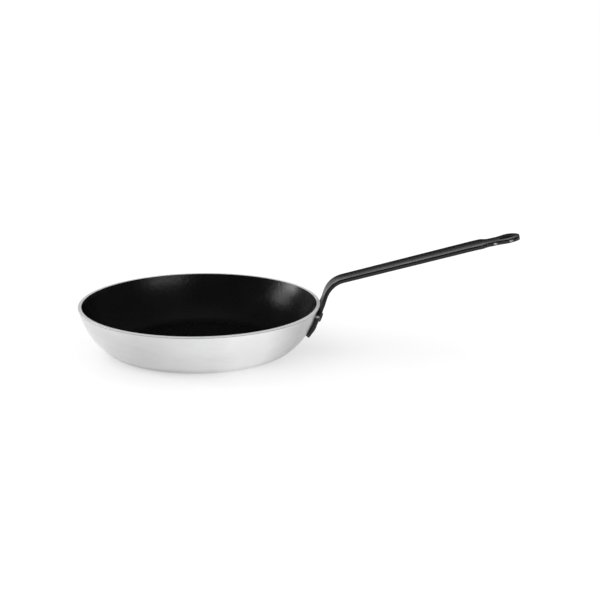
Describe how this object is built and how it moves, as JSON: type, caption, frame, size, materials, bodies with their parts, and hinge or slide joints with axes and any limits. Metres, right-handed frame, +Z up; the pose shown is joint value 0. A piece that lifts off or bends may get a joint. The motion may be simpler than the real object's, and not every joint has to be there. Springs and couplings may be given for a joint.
{
  "type": "frying pan",
  "caption": "Round frying pan with curved sides, a black non-stick lining and a long riveted strip handle that ends in a hanging eye.",
  "frame": {"origin": "centre of the base's underside, in the plane that the pan stands on", "axes": "+X from the bowl's centre toward the handle's tip, +Z up out of the bowl, +Y to the left seen from the bowl toward the handle"},
  "size_m": [0.5069, 0.2798, 0.1384],
  "materials": {
    "bowl_aluminium": "satin",
    "nonstick": "satin",
    "handle_coating": "satin",
    "rivet_coating": "satin"
  },
  "bodies": {
    "root": {"pan_body": "bowl_aluminium", "nonstick_lining": "nonstick", "handle": "handle_coating", "rivet_upper_left": "rivet_coating", "rivet_upper_right": "rivet_coating", "rivet_lower": "rivet_coating"}
  },
  "joints": []
}
